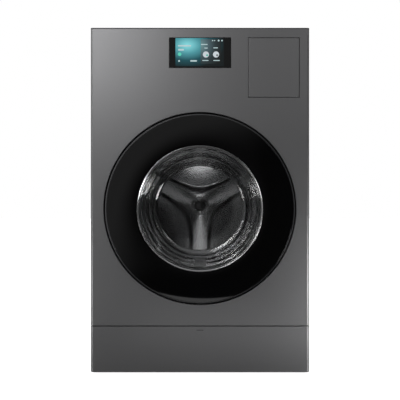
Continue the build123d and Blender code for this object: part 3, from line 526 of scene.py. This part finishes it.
def perforation_tree():
    """Geometry Nodes: a sheet of square cells with round holes, rolled into a tube."""
    tree = bpy.data.node_groups.new("rolled perforated sheet", "GeometryNodeTree")
    face = tree.interface
    face.new_socket("Geometry", in_out="OUTPUT", socket_type="NodeSocketGeometry")
    for name, kind, start in (("Radius", "NodeSocketFloat", 0.27), ("Length", "NodeSocketFloat", 0.5),
                              ("Around", "NodeSocketInt", 80), ("Along", "NodeSocketInt", 26),
                              ("Hole Radius", "NodeSocketFloat", 0.002),
                              ("Front", "NodeSocketFloat", 0.0), ("Axis Height", "NodeSocketFloat", 0.5),
                              ("Material", "NodeSocketMaterial", None)):
        made = face.new_socket(name, in_out="INPUT", socket_type=kind)
        if start is not None:
            made.default_value = start
    add, link = tree.nodes.new, tree.links.new
    given, result = add("NodeGroupInput"), add("NodeGroupOutput")

    reckon = arithmetic(tree)
    around_length = reckon("MULTIPLY", given.outputs["Radius"], math.tau)
    cell_wide = reckon("DIVIDE", around_length, given.outputs["Around"])
    cell_long = reckon("DIVIDE", given.outputs["Length"], given.outputs["Along"])
    square = add("GeometryNodeCurvePrimitiveQuadrilateral")
    link(cell_wide, square.inputs["Width"])
    link(cell_long, square.inputs["Height"])
    hole = add("GeometryNodeCurvePrimitiveCircle")
    hole.inputs["Resolution"].default_value = 8
    link(given.outputs["Hole Radius"], hole.inputs["Radius"])
    both, fill = add("GeometryNodeJoinGeometry"), add("GeometryNodeFillCurve")
    link(square.outputs["Curve"], both.inputs[0])
    link(hole.outputs["Curve"], both.inputs[0])
    link(both.outputs[0], fill.inputs["Curve"])
    grid = add("GeometryNodeMeshGrid")
    link(reckon("SUBTRACT", around_length, cell_wide), grid.inputs["Size X"])
    link(reckon("SUBTRACT", given.outputs["Length"], cell_long), grid.inputs["Size Y"])
    link(given.outputs["Around"], grid.inputs["Vertices X"])
    link(given.outputs["Along"], grid.inputs["Vertices Y"])
    copies, real = add("GeometryNodeInstanceOnPoints"), add("GeometryNodeRealizeInstances")
    link(grid.outputs["Mesh"], copies.inputs["Points"])
    link(fill.outputs["Mesh"], copies.inputs["Instance"])
    link(copies.outputs["Instances"], real.inputs["Geometry"])
    weld = add("GeometryNodeMergeByDistance")
    weld.inputs["Distance"].default_value = 0.00002
    link(real.outputs["Geometry"], weld.inputs["Geometry"])
    where, apart = add("GeometryNodeInputPosition"), add("ShaderNodeSeparateXYZ")
    link(where.outputs[0], apart.inputs[0])
    angle = reckon("DIVIDE", apart.outputs["X"], given.outputs["Radius"])
    across = reckon("MULTIPLY", reckon("SINE", angle), given.outputs["Radius"])
    upward = reckon("ADD", reckon("MULTIPLY", reckon("COSINE", angle), given.outputs["Radius"]),
                    given.outputs["Axis Height"])
    half = reckon("MULTIPLY", given.outputs["Length"], 0.5)
    along = reckon("ADD", reckon("ADD", apart.outputs["Y"], half), given.outputs["Front"])
    rolled, place = add("ShaderNodeCombineXYZ"), add("GeometryNodeSetPosition")
    for socket, value in (("X", across), ("Y", along), ("Z", upward)):
        link(value, rolled.inputs[socket])
    link(weld.outputs["Geometry"], place.inputs["Geometry"])
    link(rolled.outputs[0], place.inputs["Position"])
    seam = add("GeometryNodeMergeByDistance")
    seam.inputs["Distance"].default_value = 0.00005
    link(place.outputs["Geometry"], seam.inputs["Geometry"])
    paint = add("GeometryNodeSetMaterial")
    link(given.outputs["Material"], paint.inputs["Material"])
    link(seam.outputs["Geometry"], paint.inputs["Geometry"])
    link(paint.outputs["Geometry"], result.inputs[0])
    return tree


def grow(name, tree, **values):
    """Run a Geometry Nodes tree once and keep its result as a plain mesh."""
    seed = bpy.data.objects.new(name + "_seed", bpy.data.meshes.new(name + "_seed"))
    bpy.context.scene.collection.objects.link(seed)
    growth = seed.modifiers.new("growth", "NODES")
    growth.node_group = tree
    for item in tree.interface.items_tree:
        key = item.name.replace(" ", "_")
        if item.in_out == "INPUT" and key in values:
            growth[item.identifier] = values[key]
    graph = bpy.context.evaluated_depsgraph_get()
    mesh = bpy.data.meshes.new_from_object(seed.evaluated_get(graph))
    seed.modifiers.remove(growth)
    bpy.data.objects.remove(seed)
    mesh.name = name
    return mesh


wrap_mesh = grow("drum_wrapper", perforation_tree(), Radius=SHELL_R - 0.0006,
                 Length=BACK_Y - WRAP_FRONT_Y, Around=78, Along=25, Hole_Radius=0.0022,
                 Front=WRAP_FRONT_Y, Axis_Height=DRUM_Z, Material=drum_steel)
wrapper = finish_mesh("drum_wrapper", wrap_mesh, drum_steel, sharp=60)
thicken = wrapper.modifiers.new("sheet thickness", "SOLIDIFY")
thicken.thickness = 0.001
thicken.offset = 0.0
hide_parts("drum_shell")
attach(wrapper, "drum")
dress(drum_steel, "drum_front_ring")
dress(surface("baffle moulding", (0.72, 0.73, 0.74), 0.22, depth=0.15,
              stretch=(900, 900, 900), relief=0.00002), "drum_lifters")

# ---------------------------------------------------------------- door gasket
# One moulding in grey rubber: a bead on the recess, a lip that meets the bowl, a deep fold
# that lets the tub move, and a bead clamped on the tub's mouth.
gasket_rubber = surface("gasket rubber", (0.1, 0.1, 0.103), 0.5, depth=0.25, spread=0.15,
                        stretch=(500, 500, 500), relief=0.00004)


def gasket_points(*pairs):
    """Outline points given as radius and distance behind the front panel, in millimetres."""
    return [(radius / 1000, FRONT_Y + depth / 1000) for radius, depth in pairs]


gasket = lathe("door_gasket_folded", rounded(gasket_points(
    (187.6, 24), (190.2, 24), (194.2, 34), (207, 36.5), (213.7, 35), (213.7, 49), (222, 51),
    (229, 55), (229, 67), (220, 71.5), (211.7, 75), (211.7, 108), (207, 108), (207, 73),
    (216, 69), (224, 65), (224, 57.5), (216, 55.2), (208, 53), (205, 42), (192, 37)),
    0.004, steps=5), gasket_rubber, steps=192, sharp=60)
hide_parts("door_gasket")
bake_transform(gasket)

# ---------------------------------------------------------------- screen
# Black cover glass bonded into the front sheet, with a colour screen lit behind it; its
# picture is plain bars, dots and two round buttons.
dress(black_glass, "display_glass")
PANE_LOW, PANE_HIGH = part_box("display_glass")
PANE_X = (PANE_LOW.x + PANE_HIGH.x) / 2


def pill_mesh(marks, depth):
    """Flat rounded bars from (x, z, half width, half height), each a thin solid."""
    points, faces = [], []
    for x, z, half_w, half_h in marks:
        corner = min(half_w, half_h) * 0.999
        if min(half_w, half_h) > 0.01:
            corner = 0.0022
        ring = []
        for cx, cz, start in ((1, 1, 0), (-1, 1, 90), (-1, -1, 180), (1, -1, 270)):
            for step in range(7):
                turn = math.radians(start + 15 * step)
                ring.append((x + cx * (half_w - corner) + corner * math.cos(turn),
                             z + cz * (half_h - corner) + corner * math.sin(turn)))
        base = len(points)
        count = len(ring)
        points += [(px, PANE_LOW.y - depth, pz) for px, pz in ring]
        points += [(px, PANE_LOW.y + 0.0004, pz) for px, pz in ring]
        faces.append(tuple(range(base, base + count)))
        faces.append(tuple(range(base + 2 * count - 1, base + count - 1, -1)))
        for index in range(count):
            follow = (index + 1) % count
            faces.append((base + index, base + count + index, base + count + follow, base + follow))
    mesh = bpy.data.meshes.new("pills")
    mesh.from_pydata(points, [], faces)
    return mesh


def lit(name, colour, spread):
    """A self-lit screen colour whose light is faintly uneven."""
    made = bpy.data.materials.new(name)
    made.use_nodes = True
    tree = made.node_tree
    shader = tree.nodes["Principled BSDF"]
    shader.inputs["Base Color"].default_value = (0.01, 0.01, 0.01, 1)
    shader.inputs["Roughness"].default_value = 0.1
    shader.inputs["Emission Strength"].default_value = 1.0
    grain = tree.nodes.new("ShaderNodeGroup")
    grain.node_tree = SURFACE_GRAIN
    for key, value in (("Colour", (*colour, 1)), ("Depth", spread), ("Stretch", (60, 60, 60))):
        grain.inputs[key].default_value = value
    tree.links.new(grain.outputs["Colour"], shader.inputs["Emission Color"])
    return made


def screen_picture(name, across, down, reach, colours):
    """A lit glow that fades through four colours, from its rim to its middle."""
    made = bpy.data.materials.new(name)
    made.use_nodes = True
    tree = made.node_tree
    add, link = tree.nodes.new, tree.links.new
    shader = tree.nodes["Principled BSDF"]
    shader.inputs["Base Color"].default_value = (0.004, 0.005, 0.005, 1)
    shader.inputs["Roughness"].default_value = 0.08
    shader.inputs["Emission Strength"].default_value = 1.0
    place, glow = add("ShaderNodeTexCoord"), add("ShaderNodeMapping")
    glow.vector_type = "TEXTURE"
    glow.inputs["Location"].default_value = (PANE_X + across, 0, PANE_HIGH.z - down)
    glow.inputs["Scale"].default_value = (reach[0], 1.0, reach[1])
    ball = add("ShaderNodeTexGradient")
    ball.gradient_type = "SPHERICAL"
    ramp = add("ShaderNodeValToRGB")
    stops = ramp.color_ramp.elements
    stops.new(0.35)
    stops.new(0.65)
    for stop, colour in zip(stops, colours):
        stop.color = (*colour, 1)
    flat = add("ShaderNodeVectorMath")
    flat.operation = "MULTIPLY"
    flat.inputs[1].default_value = (1, 0, 1)
    link(place.outputs["Object"], glow.inputs["Vector"])
    link(glow.outputs["Vector"], flat.inputs[0])
    link(flat.outputs[0], ball.inputs["Vector"])
    link(ball.outputs["Fac"], ramp.inputs["Fac"])
    link(ramp.outputs["Color"], shader.inputs["Emission Color"])
    return made


def screen_marks(name, marks, material, depth):
    """Marks as one piece, from (across, down, half width, half height) in millimetres.

    Across is measured from the screen's middle and down from its top edge.
    """
    placed = [(PANE_X + across / 1000, PANE_HIGH.z - down / 1000, half_w / 1000, half_h / 1000)
              for across, down, half_w, half_h in marks]
    piece = finish_mesh(name, pill_mesh(placed, depth), material)
    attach(piece, "cabinet")


TEAL_GLOW = screen_picture("teal glow", -0.040, 0.024, (0.115, 0.072), [
    (0.002, 0.005, 0.006), (0.008, 0.07, 0.088), (0.07, 0.3, 0.34), (0.24, 0.7, 0.74)])
CARD_GLOW = screen_picture("card glow", 0.002, 0.024, (0.070, 0.085), [
    (0.004, 0.006, 0.006), (0.02, 0.032, 0.036), (0.06, 0.10, 0.115), (0.14, 0.26, 0.27)])
screen_marks("screen_backdrop", [(-1.1, 45.7, 75.7, 44.1)], TEAL_GLOW, 0.00005)
screen_marks("screen_card", [(34.1, 43.8, 32.2, 38.5)], CARD_GLOW, 0.00009)
screen_marks("screen_buttons", [(18.5, 53.2, 9.6, 9.6), (50.1, 53.2, 9.6, 9.6)],
             lit("button white", (0.62, 0.68, 0.72), 0.2), 0.00013)
screen_marks("screen_bars", [
    (-48.5, 26.0, 20.7, 2.3), (-59.5, 38.5, 9.4, 2.8), (-65.4, 73.5, 2.8, 2.8), (13.5, 21.9, 10.3, 1.3),
    (18.8, 33.2, 5.3, 1.4), (48.8, 32.5, 7.2, 1.4), (16.9, 72.0, 9.7, 1.3), (51.6, 72.0, 10.0, 1.3),
    (58.2, 9.7, 2.8, 2.8), (68.8, 9.7, 2.5, 2.5), (39.4, 9.7, 2.2, 1.6), (45.7, 9.7, 1.9, 1.6),
    (-20.0, 73.2, 10.6, 2.3)],
    lit("mark white", (0.5, 0.66, 0.68), 0.2), 0.00013)
screen_marks("screen_dot", [(-63.8, 52.3, 5.6, 5.6)],
             lit("go green", (0.1, 0.62, 0.45), 0.1), 0.00013)
screen_marks("screen_left_mark", [(22.2, 55.7, 3.1, 3.1)],
             lit("mark green", (0.08, 0.42, 0.34), 0.1), 0.00017)
screen_marks("screen_right_mark", [(53.8, 55.7, 3.4, 3.4)],
             lit("mark grey", (0.16, 0.17, 0.17), 0.1), 0.00017)

# ---------------------------------------------------------------- rear screws
# Pan-head steel screws, cold headed and zinc plated, that hold the rear sheet and the motor
# cover to the cabinet.
dress(steel, "panel_screws")
